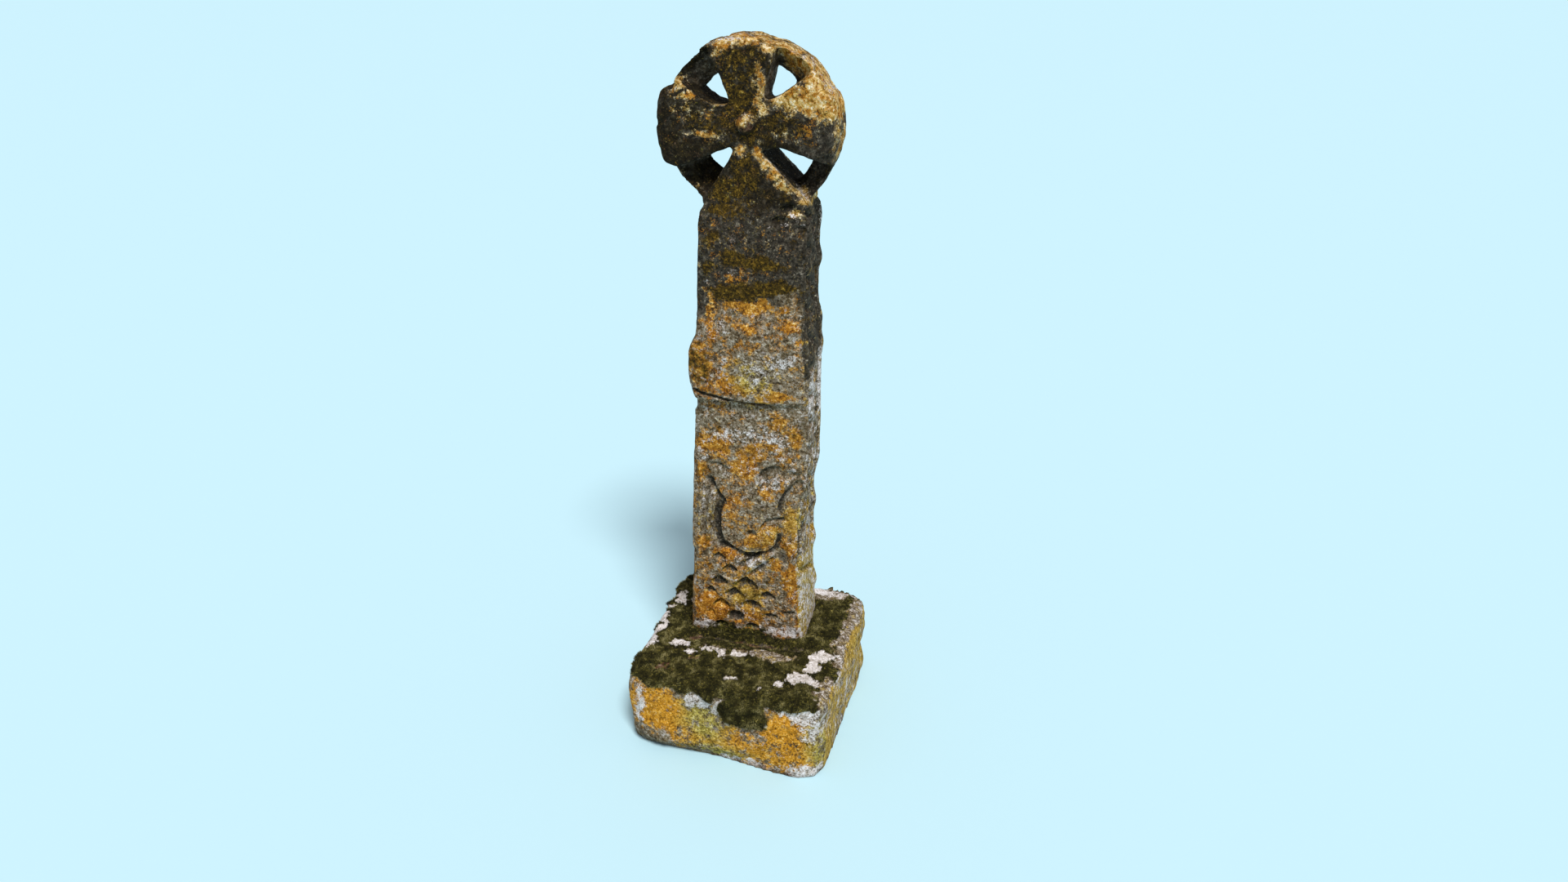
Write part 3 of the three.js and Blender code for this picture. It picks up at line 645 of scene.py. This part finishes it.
# Growths on the front, x and z: middle, half widths and strength.
FRONT_ORANGE = [
    (30, 1381, 74, 15, 0.95), (-91, 1327, 15, 60, 0.65), (-130, 1205, 50, 66, 0.5), (-39, 1150, 28, 20, 0.7),
    (5, 1140, 30, 16, 0.7), (85, 1120, 50, 16, 0.7), (12, 1322, 34, 18, 0.55), (122, 1334, 24, 20, 0.5),
    (7, 1272, 24, 16, 0.55), (-98, 947, 60, 42, 0.6), (94, 1029, 26, 22, 0.65), (147, 987, 24, 30, 0.65),
    (60, 965, 46, 20, 0.5), (31, 928, 30, 22, 0.65), (-10, 880, 40, 44, 0.62), (-140, 858, 22, 30, 0.65),
    (107, 817, 15, 13, 0.8), (70, 795, 24, 22, 0.5), (-40, 745, 50, 46, 0.42), (-20, 685, 60, 40, 0.4),
    (139, 709, 36, 52, 0.8), (60, 651, 32, 34, 0.85), (18, 622, 45, 22, 0.75), (125, 620, 40, 22, 0.7),
    (146, 498, 32, 56, 0.9), (88, 545, 24, 22, 0.75), (-121, 362, 52, 42, 0.9), (24, 354, 30, 28, 0.85),
    (108, 298, 30, 18, 0.8), (-9, 426, 50, 40, 0.5), (-140, 610, 20, 20, 0.6), (-70, 560, 40, 20, 0.5),
    (150, 1946, 40, 20, 0.2), (165, 1850, 44, 36, 0.55),
]
FRONT_YELLOW = [
    (139, 709, 50, 66, 0.3), (60, 651, 30, 30, 0.2), (-9, 426, 70, 50, 0.45), (40, 1180, 70, 50, 0.75),
    (25, 552, 40, 40, 0.6), (-130, 720, 30, 70, 0.5), (20, 1090, 70, 20, 0.5),
]
FRONT_OLIVE = [
    (-128, 1196, 46, 62, 0.42),
    (-42, 1699, 60, 28, 0.7), (-40, 1648, 50, 30, 0.6), (-87, 1562, 28, 20, 0.75), (-31, 1508, 40, 18, 0.9),
    (62, 1510, 48, 22, 0.95), (-98, 1490, 28, 16, 0.7), (10, 1428, 86, 24, 1.0), (95, 1428, 60, 22, 0.95),
    (-50, 1408, 44, 20, 0.9), (0, 1960, 70, 120, 0.5), (5, 1750, 50, 60, 0.5), (90, 1876, 50, 40, 0.5),
    (-90, 1870, 70, 30, 0.5), (5, 1840, 70, 60, 0.5), (-9, 426, 50, 40, 0.3),
]
FRONT_PALE = [
    (122, 1633, 26, 9, 0.8), (98, 1611, 24, 8, 0.7), (148, 1606, 13, 12, 0.7), (-106, 1442, 12, 16, 0.7),
    (-145, 291, 44, 20, 0.85), (121, 303, 80, 20, 0.8), (70, 826, 30, 14, 0.55), (26, 546, 44, 16, 0.5),
    (-50, 1310, 40, 30, 0.3), (100, 1230, 40, 34, 0.34), (20, 978, 90, 26, 0.5), (-140, 900, 22, 26, 0.4),
    (44, 1186, 30, 50, 0.25),
]
# Barer middle of the loop on the front, x and z
LOOP_BODY = (0, 730, 70, 80, 1.0)
# Pale streaks on the right side, y and z
SIDE_PALE = [(-50, 1085, 40, 70, 0.3), (100, 1110, 40, 90, 0.4)]
# Pale crust along the back corner of the right side, which is also a painted highlight there, y and z
CORNER_PALE_AND_HIGHLIGHT = [(96, 1590, 14, 34, 0.45), (100, 1516, 14, 34, 0.5), (104, 1452, 14, 24, 0.45)]
# Pale and ochre crust that lightens the dark head and shoulders; the patch on the boss is a painted
# highlight.
HEAD_CRUST_AND_HIGHLIGHT = [
    (-62, 2066, 50, 16, 0.8), (10, 2078, 70, 18, 0.95), (80, 2068, 50, 20, 0.9), (128, 2044, 46, 28, 0.9),
    (183, 2004, 50, 40, 1.05), (214, 1950, 60, 60, 1.15), (150, 1930, 76, 30, 1.05), (90, 1938, 34, 20, 0.9),
    (240, 1908, 46, 28, 1.0), (266, 1830, 24, 90, 0.95), (176, 1914, 56, 14, 0.45), (60, 1900, 26, 22, 0.55),
    (113, 1900, 26, 18, 0.5), (101, 1838, 40, 12, 0.4), (46, 1962, 15, 60, 0.7), (8, 1872, 24, 22, 0.8),
    (122, 1998, 34, 34, 0.75),
    (-100, 1833, 56, 14, 0.7), (-177, 1900, 40, 30, 0.24), (-80, 1886, 50, 26, 0.24),
    (-180, 1965, 26, 18, 0.7), (-150, 1936, 26, 9, 0.7), (-8, 1796, 22, 26, 0.75), (44, 1790, 16, 24, 0.7),
    (58, 1774, 15, 22, 0.85), (82, 1744, 18, 30, 0.85),
    (113, 1701, 34, 18, 0.8), (169, 1668, 28, 14, 0.85), (-69, 2036, 18, 18, 0.5), (131, 1634, 26, 10, 0.7),
]


def near_line(first, second, line):
    """Distance to a run of straight pieces, and the side of it: positive on the left of the run."""
    nearest = np.full(len(first), np.inf)
    side = np.zeros(len(first))
    for (a0, b0), (a1, b1) in zip(line, line[1:]):
        run_a, run_b = a1 - a0, b1 - b0
        share = np.clip(((first - a0) * run_a + (second - b0) * run_b) / (run_a ** 2 + run_b ** 2), 0, 1)
        off_a = first - a0 - share * run_a
        off_b = second - b0 - share * run_b
        distance = np.hypot(off_a, off_b)
        closer = distance < nearest
        nearest = np.where(closer, distance, nearest)
        side = np.where(closer, np.sign(run_a * off_b - run_b * off_a), side)
    return nearest, side


def curve(line):
    """Smooth run through a few points."""
    knots = np.array([line[0]] + list(line) + [line[-1]], float)
    run = []
    for before, start, end, after in zip(knots, knots[1:], knots[2:], knots[3:]):
        for t in np.arange(CURVE_STEPS) / CURVE_STEPS:
            bend = (2 * start + (end - before) * t + (2 * before - 5 * start + 4 * end - after) * t ** 2
                    + (3 * start - before - 3 * end + after) * t ** 3) / 2
            run.append(tuple(bend))
    return run + [tuple(knots[-1])]


def panel_relief(x, z):
    """Height of the carved front over its dressed face, in millimetres."""
    weave = np.cos(2 * math.pi * (x - WEAVE_X) / WEAVE_ACROSS)
    weave = weave * np.cos(2 * math.pi * (z - WEAVE_Z) / WEAVE_UP)
    weave = -WEAVE_HEIGHT * weave * ramp(WEAVE_TOP, WEAVE_TOP_FADE, z)
    relief = weave * ramp(WEAVE_RIGHT, WEAVE_RIGHT_FADE, x)
    for middle_x, middle_z, half_x, half_z, height in PANEL_SWELLS:
        relief += height * np.clip(1 - ((x - middle_x) / half_x) ** 2 - ((z - middle_z) / half_z) ** 2, 0, 1)
    for line, half, height in PANEL_BANDS:
        relief += height * rounded(x, z, line, half)
    for line, depth, runout in PANEL_EDGES:
        distance, side = near_line(x, z, curve(line))
        drop = ramp(runout, 0, distance) * ramp(0, PIT_WALL, distance * side)
        relief -= depth * drop * off_ends(x, z, line)
    for line, half, depth in PANEL_GROOVES:
        relief -= depth * rounded(x, z, line, half)
    return relief - sunk_pits(x, z, PLAIT_PITS)


def off_ends(x, z, line):
    """Share that dies out towards both ends of a line."""
    share = np.ones(len(x))
    for end_x, end_z in (line[0], line[-1]):
        share = share * ramp(0, END_FADE, np.hypot(x - end_x, z - end_z))
    return share


def rounded(x, z, line, half):
    """Share of a half-round band along a line, that dies out at its ends."""
    distance, _ = near_line(x, z, curve(line))
    return np.sqrt(np.clip(1 - (distance / half) ** 2, 0, 1)) * off_ends(x, z, line)


def sunk_pits(x, z, pits):
    """Depth of hollows that are steep under their top edge and run out below and to the sides."""
    total = np.zeros(len(x))
    for top_x, top_z, width, height, depth, is_round in pits:
        across = np.abs(x - top_x) / (width / 2)
        arch = np.sqrt(np.clip(1 - across ** 2, 0, 1))
        crown = 1 - arch if is_round else across
        under = (top_z - z) - crown * height * PIT_CROWN
        room = np.maximum(height * (1 - PIT_CROWN * crown), 1)
        floor_share = np.clip(1 - under / room, 0, 1) ** PIT_RUNOUT
        total += depth * ramp(0, PIT_WALL, under) * floor_share * arch ** PIT_RUNOUT
    return total


def twist_relief(y, z):
    """Height of the two-strand twist and its edge rolls, from 0 on top to minus its depth in the hollows."""
    turn = math.pi * (z - TWIST_FIRST) / TWIST_STEP
    slope = TWIST_SWING * math.pi / TWIST_STEP * np.sin(turn)
    crossing = np.abs(np.cos(turn)) < CROSSING
    over = np.where(np.floor(turn / math.pi) % 2 < 1, 1, -1)
    best = np.zeros(len(y))
    for strand in (1, -1):
        away = np.abs(y - strand * TWIST_SWING * np.cos(turn)) / np.sqrt(1 + slope ** 2)
        crown = np.sqrt(np.clip(1 - (away / STRAND_HALF) ** 2, 0, 1))
        under = np.where(crossing & (over != strand), UNDER_DROP / TWIST_DEPTH, 0)
        best = np.maximum(best, crown - under)
    roll = np.sqrt(np.clip(1 - ((np.abs(y) - ROLL_AT) / ROLL_HALF) ** 2, 0, 1))
    return -TWIST_DEPTH * (1 - np.maximum(best, roll))


def left_edge(z):
    """Left face of the shaft at a height."""
    t = np.clip((z - FOOT_Z) / (SHOULDER_Z - FOOT_Z), 0, 1)
    return LEFT_FOOT + (LEFT_TOP - LEFT_FOOT) * t ** LEFT_CURVE


def right_edge(z):
    """Right face of the shaft at a height."""
    swell = SWELL * ramp(SWELL_FROM, SWELL_FULL, z) * ramp(SWELL_ENDS, SWELL_FADES, z)
    flare = (RIGHT_FOOT - RIGHT_WAIST) * ramp(FLARE_TOP, FLARE_BOTTOM, z)
    flare = flare + (RIGHT_TOP - RIGHT_WAIST) * ramp(WIDENS_FROM, WIDENS_TO, z)
    return RIGHT_WAIST + flare + swell


def axis_frame(points):
    """Millimetres across, along and up from the shaft's own axis."""
    return (points / MM - np.array([AXIS_X, AXIS_Y, 0])).T


cross = worked_copy("cross", "weathered_cross", CROSS_VOXEL, CROSS_SMOOTHING)

# Finer quads where the carving is
centres = np.empty(len(cross.data.polygons) * 3)
cross.data.polygons.foreach_get("center", centres)
x, y, z = axis_frame(centres.reshape(-1, 3))
carved = (z > PANEL_BOTTOM - FINE_BELOW) & (z < PANEL_TOP) | (np.abs(z - CRACK[2][1]) < FINE_BY_CRACK)
carved |= np.hypot(x - BOSS_X, z - BOSS_Z) < BOSS_RADIUS + 2 * BOSS_GROOVE_HALF
carved &= (y < FACE_FRONT + FINE_DEPTH) & (x > left_edge(z) + FINE_LEFT) & (x < FINE_RIGHT)
bpy.context.tool_settings.mesh_select_mode = (False, False, True)
bpy.ops.object.mode_set(mode="EDIT")
bpy.ops.mesh.select_all(action="DESELECT")
bpy.ops.object.mode_set(mode="OBJECT")
cross.data.polygons.foreach_set("select", carved)
bpy.ops.object.mode_set(mode="EDIT")
bpy.ops.mesh.subdivide(number_cuts=1)
bpy.ops.object.mode_set(mode="OBJECT")

# Carved front
points = read_vertices(cross.data, "co")
x, y, z = axis_frame(points)
face = FACE_FRONT + FACE_LEAN * (z - FOOT_Z)
inside = ramp(PANEL_BOTTOM - 6, PANEL_BOTTOM + 8, z) * ramp(PANEL_TOP, PANEL_TOP - 25, z)
inside *= ramp(8, 24, x - left_edge(z)) * ramp(6, 22, right_edge(z) - x) * (y < FACE_FRONT + PANEL_BEHIND)
relief = panel_relief(x, z) + FACE_LUMP_HEIGHT * grain(points, FACE_LUMP, 21)
relief = relief + FACE_DENT_HEIGHT * grain(points, FACE_DENT, 22)
y = y + inside * (face - relief - y)
distance, _ = near_line(x, z, curve(CRACK))
crack = CRACK_DEPTH * np.sqrt(np.clip(1 - (distance / CRACK_HALF) ** 2, 0, 1)) * ramp(CRACK_END, 0, x)
gouged = (crack + sunk_pits(x, z, SHOULDER_GOUGES)) * (y < FRONT_HALF)
boss_away = np.hypot(x - BOSS_X, z - BOSS_Z)
boss = BOSS_HEIGHT * np.sqrt(np.clip(1 - (boss_away / BOSS_RADIUS) ** 2, 0, 1))
boss -= BOSS_GROOVE_DEPTH * ramp(BOSS_GROOVE_HALF, 0, np.abs(boss_away - BOSS_RADIUS - BOSS_GROOVE_HALF))
round_boss = np.abs(boss_away - BOSS_RADIUS - 2 * BOSS_GROOVE_HALF) < BOSS_GROOVE_HALF
head_face = np.median(y[round_boss & (y < FRONT_HALF)])
at_boss = ramp(BOSS_RADIUS + 2 * BOSS_GROOVE_HALF, BOSS_RADIUS + BOSS_GROOVE_HALF, boss_away)
at_boss = at_boss * (y < FRONT_HALF)
y = y + gouged + at_boss * (head_face - boss - y)

# The right face swells lower down than the solid's does
lower_swell = SWELL * (ramp(SWELL_FROM, SWELL_FULL, z) - ramp(SOLID_SWELL_FROM, SOLID_SWELL_FULL, z))
x = x + lower_swell * ramp(SWELL_IN, SWELL_OUT, x)

# Twist on both sides, left out over the bulge
side_hollow = np.zeros(len(x))
for side in (1, -1):
    edge = right_edge(z) if side > 0 else left_edge(z)
    on_side = ramp(TWIST_FIRST - TWIST_FADE_FROM, TWIST_FIRST - TWIST_FADE_TO, z)
    on_side = on_side * ramp(TWIST_TOP + TWIST_FADE_TO, TWIST_TOP, z)
    on_side *= ramp(TWIST_EDGE, TWIST_EDGE_FADE, np.abs(y)) * (side * (x - edge) > -TWIST_BEHIND)
    worn = 0.8 + 0.2 * grain(points, WEAR_LENGTH, 23 + side)
    target = edge + side * worn * twist_relief(y, z)
    bulged = (side < 0) & (z > BULGE_BOTTOM) & (z < BULGE_TOP)
    x = np.where(bulged, x, x + on_side * (target - x))
    sunk = np.clip(1.8 * (edge - x) * side / TWIST_DEPTH - 0.25, 0, 1)
    side_hollow = np.maximum(side_hollow, on_side * sunk)
at_right = ramp(30, 70, x)
for bump_z, bump_out in BACK_BUMPS:
    x = x + at_right * ramp(20, 80, y) * bump_out * ramp(BUMP_HALF, 0, np.abs(z - bump_z))
notch = ramp(NOTCH_IN, NOTCH_OUT, x - right_edge(z)) * rounded(y, z, NOTCH, NOTCH_HALF)
x = x - NOTCH_DEPTH * notch
side_hollow = np.maximum(side_hollow, notch)
points = (np.stack([x, y, z], axis=1) + np.array([AXIS_X, AXIS_Y, 0])) * MM
write_vertices(cross.data, points)

# Weathering: slow lumps, pitting, and chips out of the edge of the head
normals = read_vertices(cross.data, "normal")
above = ramp(SHAFT_ENDS, HEAD_BEGINS, z)
rough = grain(points, LUMP, 11) + 0.5 * grain(points, DENT, 12)
lift = (SHAFT_LUMP + HEAD_LUMP_MORE * above) * rough
lift = lift + (SHAFT_PITTING + HEAD_PITTING_MORE * above) * grain(points, PITTING, 13)
lift *= ramp(BOSS_RADIUS - 6, BOSS_RADIUS + 10, boss_away)
radius = np.hypot(x, z - HEAD_Z)
rim = ramp(RIM_FROM, RIM_FULL, radius) * above
chips = rim * RIM_CHIP_DEPTH * ramp(0.15, 0.75, grain(points, RIM_CHIP, 18))
lift -= chips + rim * RIM_NICK_DEPTH * ramp(0.2, 0.7, grain(points, RIM_NICK, 19))
arris = ramp(0.3, 0.6, np.minimum(np.abs(normals[:, 0]), np.abs(normals[:, 1]))) * (1 - above)
chips = ARRIS_CHIP_DEPTH * ramp(0.1, 0.7, grain(points, ARRIS_CHIP, 28))
lift -= arris * (chips + ARRIS_NICK_DEPTH * ramp(0.1, 0.7, grain(points, ARRIS_NICK, 29)))
lift *= ramp(FOOT_Z - 10, FOOT_Z + 20, z)
write_vertices(cross.data, points + normals * lift[:, None] * MM)

# Growths: which way the faces look, then the stains, then the sum for each growth
ragged = frayed(points, CROSS_FRAY, CROSS_FRAY_LENGTH, 121)
across, along, up = axis_frame(ragged)
frontward = ramp(0.2, 0.6, -normals[:, 1])
rightward = ramp(0.3, 0.7, normals[:, 0])
# Faces of the head that look up, on its middle and right: pale crust, and painted light where the light falls
# on them
skyward = ramp(0.3, 0.8, normals[:, 2]) * above * ramp(-170, -60, x)
broad = broken(points, 110, 14)
# Painted shade in the pits, the crack, the gouges and the hollows of the twist: it darkens them with the
# patina colour and takes the orange and pale growths out of them
hollow_shade = np.clip(gouged / 10 - (panel_relief(x, z) + 3) / 8 * inside + 0.9 * side_hollow, 0, 1)

# Sunk ring of the head: painted shade, darker than the arms, but for its upper right part; faces in it that
# look up keep the most dark, as a painted shadow of the arms, and the rest is greyer
pierced = above * ramp(80, 60, np.abs(y)) * ramp(212, 196, radius)
pierced *= 1 - 0.75 * ramp(60, 90, x) * ramp(1935, 1965, z) * (y < 0)
ring_faces_not_up = pierced * ramp(0.5, 0, normals[:, 2])

drips = DRIP * broken(points, 60, 26)
drips = drips + (1 - frontward) * LONG_DRIP * grain(points * np.array([1, 1, 0.3]), 60, 39)
stain_from = STAIN_LOW - STAIN_LOWER * (1 - frontward)
stain_to = STAIN_HIGH + STAIN_HIGHER * (1 - frontward)
stained = ramp(stain_from, stain_to, up - STAIN_SLANT * across + drips)

# Crust on the front and over the rim, with painted light on the faces of the head that look up and a painted
# highlight on the boss; none of it or of its specks on the dark parts of the head
on_front = np.maximum(ramp(0.05, 0.4, -normals[:, 1]), ramp(60, -20, y - 70 * (x > 150)))
crust = 1.45 * patches(across, up, HEAD_CRUST_AND_HIGHLIGHT) * on_front
crust = np.maximum(crust, 0.85 * skyward) * (1 - pierced) + 0.11 * broken(points, 44, 25) * above
speckless = above * frontward * (1 - np.clip(crust, 0, 1))
write_cover(cross.data, "crust", 0.63 * crust - 0.1 * speckless)
crust = np.clip(crust, 0, 1)
write_cover(cross.data, "algae", 0.74 * above * (1 - 0.8 * crust) * (1 - ring_faces_not_up)
            + 0.1 * stained * (1 - ring_faces_not_up) - 0.46 * above * ramp(120, 170, x))

# Right side: dark above a slanting line, part stain and part painted shadow, and darker in the hollows of the
# twist as painted shade
side_stain_and_shadow = ramp(-SIDE_DARK_EDGE, SIDE_DARK_EDGE,
              up - SIDE_DARK_LINE - SIDE_DARK_SLANT * along + SIDE_DARK_WANDER * broken(points, 60, 27))
dark = np.maximum(stained * (1 - 0.25 * rightward * (1 - side_hollow)),
                  rightward * side_stain_and_shadow * (0.75 + 0.25 * side_hollow))
streaks = broken(points * STREAK, 26, 24)
hidden = (1 - frontward) * (1 - rightward)
wide = hidden * broken(points, 210, 40)
damp = hidden * ramp(-0.1, 0.5, broken(points * np.array([1, 1, 0.4]), 90, 44))
# Painted light on the right side where it is not dark, stronger towards the foot, with pale streaks in it
side_pale_and_light = rightward * (0.15 + 0.17 * ramp(560, 440, up) + patches(along, up, SIDE_PALE)) * (1 - dark)
loop_body = patches(across, up, [LOOP_BODY])

write_cover(cross.data, "moss", 0.9 * ramp(322, 288, up + 12 * rough) * ramp(115, 60, np.abs(across + 40))
            + 0.5 * ramp(290, 270, up + 10 * rough))
write_cover(cross.data, "orange", frontward * 0.85 * patches(across, up, FRONT_ORANGE) + 0.2 * broad + 0.3
            + 0.12 * ramp(640, 560, up) + 0.05 * ramp(1080, 1120, up)
            + (1 - frontward) * 0.25 * streaks + 0.4 * wide + 0.95 * rightward * ramp(640, 420, up)
            + 0.2 * crust - 0.45 * hollow_shade - 0.12 * loop_body - 0.22 * dark * (1 - crust) - 0.2 * pierced
            - 0.2 * above * (1 - 0.6 * crust) - 0.08 * speckless - 0.1 * rightward * dark - 0.2 * skyward)
write_cover(cross.data, "yellow", frontward * patches(across, up, FRONT_YELLOW) + 0.1
            + 0.12 * grain(points, 90, 15) + rightward * (0.45 + 0.2 * ramp(600, 460, up)) * (1 - above))
write_cover(cross.data, "olive", frontward * patches(across, up, FRONT_OLIVE) * (1 - crust)
            + 0.05 + 0.15 * grain(points, 80, 16) + 0.15 * (1 - frontward) * dark - 0.3 * pierced
            + 0.3 * damp)
write_cover(cross.data, "pale", frontward * 0.7 * patches(across, up, FRONT_PALE) + 0.16 + 0.15 * broad
            + side_pale_and_light + rightward * patches(along, up, CORNER_PALE_AND_HIGHLIGHT) - 0.1 * loop_body - 0.35 * wide
            - 0.2 * damp - 0.25 * dark - 0.3 * hollow_shade - 0.2 * pierced + 0.38 * skyward
            - 0.14 * speckless - 0.1 * rightward * dark)
write_cover(cross.data, "dirt", 0.5 * ramp(320, 300, up) * hollow_shade
            + 0.42 * ramp(BOSS_RADIUS + 4, BOSS_RADIUS - 4, boss_away) * frontward)
write_cover(cross.data, "patina", dark * (1 - 0.4 * crust) * (1 - 0.5 * ring_faces_not_up) + 0.85 * hollow_shade
            + 0.3 * ramp(-100, -130, across) * ramp(1130, 1160, up) + 0.4 * damp)
cross.data.materials.append(lichened_stone("weathered_granite", BROWN_STOPS))
cross.data.shade_smooth()
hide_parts("cross")
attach(cross, "root")


# Floor, light and camera
# A plain pale floor and soft overhead studio light, with the camera high in front and to the right.

FLOOR_HALF = 60.0
FLOOR_COLOUR = "#BCDDE6"
SKY_COLOUR = "#F4F8FF"
SKY_STRENGTH = 0.42
KEY_STRENGTH = 3.2
KEY_SOFTNESS = math.radians(14)
KEY_TURN = (math.radians(32), 0, math.radians(30))
CAMERA_PLACE = (0.6932, -2.7402, 2.3521)
CAMERA_TURN = (math.radians(63.7), 0, math.radians(12))
CAMERA_LENS = 24.443
CAMERA_SENSOR = 36

bpy.ops.object.select_all(action="DESELECT")
bpy.ops.mesh.primitive_plane_add(size=2 * FLOOR_HALF, location=(0, 0, 0))
floor = bpy.context.active_object
floor.name = "floor"
floor_paint = bpy.data.materials.new("matt_floor_paint")
floor_paint.use_nodes = True
floor_shader = floor_paint.node_tree.nodes["Principled BSDF"]
floor_shader.inputs["Base Color"].default_value = linear(FLOOR_COLOUR)
floor_shader.inputs["Roughness"].default_value = 0.95
floor_shader.inputs["Specular IOR Level"].default_value = 0.1
floor.data.materials.append(floor_paint)

world = bpy.data.worlds.new("studio")
world.use_nodes = True
sky = world.node_tree.nodes["Background"]
sky.inputs["Color"].default_value = linear(SKY_COLOUR)
sky.inputs["Strength"].default_value = SKY_STRENGTH
bpy.context.scene.world = world
bpy.context.scene.view_settings.view_transform = "Standard"

bpy.ops.object.light_add(type="SUN", rotation=KEY_TURN)
key = bpy.context.active_object
key.name = "key_light"
key.data.energy = KEY_STRENGTH
key.data.angle = KEY_SOFTNESS

bpy.ops.object.camera_add(location=CAMERA_PLACE, rotation=CAMERA_TURN)
camera = bpy.context.active_object
camera.data.lens = CAMERA_LENS
camera.data.sensor_width = CAMERA_SENSOR
bpy.context.scene.camera = camera
